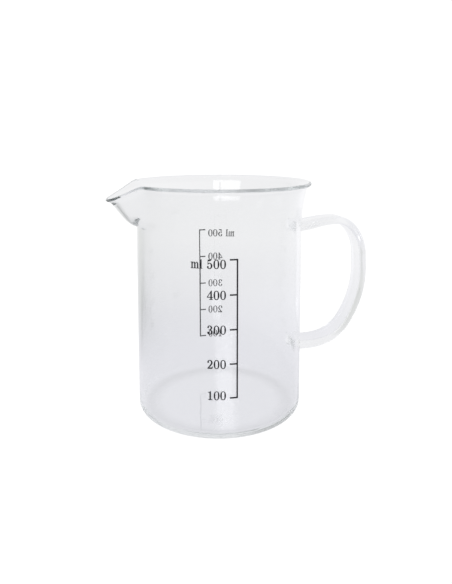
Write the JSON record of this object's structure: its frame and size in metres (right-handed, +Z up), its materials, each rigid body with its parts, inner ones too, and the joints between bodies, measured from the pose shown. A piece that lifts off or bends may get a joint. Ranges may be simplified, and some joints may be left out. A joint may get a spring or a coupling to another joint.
{
  "type": "measuring beaker",
  "caption": "Clear glass measuring beaker with a straight wall, flared rim, pouring spout, strap handle and a black volume scale on two sides.",
  "frame": {"origin": "on the axis of the cup, in the plane of the base that it stands on", "axes": "+X from the axis towards the handle, -X towards the spout, +Z up the cup's axis, the front scale faces -Y"},
  "size_m": [0.1472, 0.1, 0.1256],
  "materials": {
    "glass": "clear, fire-polished",
    "ink": "fired enamel, semi-gloss"
  },
  "bodies": {
    "root": {"vessel": "glass", "handle": "glass", "front_scale_line": "ink", "front_100_digit_1": "ink", "front_100_digit_2": "ink", "front_100_digit_3": "ink", "front_200_digit_1": "ink", "front_200_digit_2": "ink", "front_200_digit_3": "ink", "front_300_digit_1": "ink", "front_300_digit_2": "ink", "front_300_digit_3": "ink", "front_400_digit_1": "ink", "front_400_digit_2": "ink", "front_400_digit_3": "ink", "front_500_digit_1": "ink", "front_500_digit_2": "ink", "front_500_digit_3": "ink", "front_unit_m": "ink", "front_unit_l": "ink", "back_scale_line": "ink", "back_100_digit_1": "ink", "back_100_digit_2": "ink", "back_100_digit_3": "ink", "back_200_digit_1": "ink", "back_200_digit_2": "ink", "back_200_digit_3": "ink", "back_300_digit_1": "ink", "back_300_digit_2": "ink", "back_300_digit_3": "ink", "back_400_digit_1": "ink", "back_400_digit_2": "ink", "back_400_digit_3": "ink", "back_500_digit_1": "ink", "back_500_digit_2": "ink", "back_500_digit_3": "ink", "back_unit_m": "ink", "back_unit_l": "ink"}
  },
  "joints": []
}
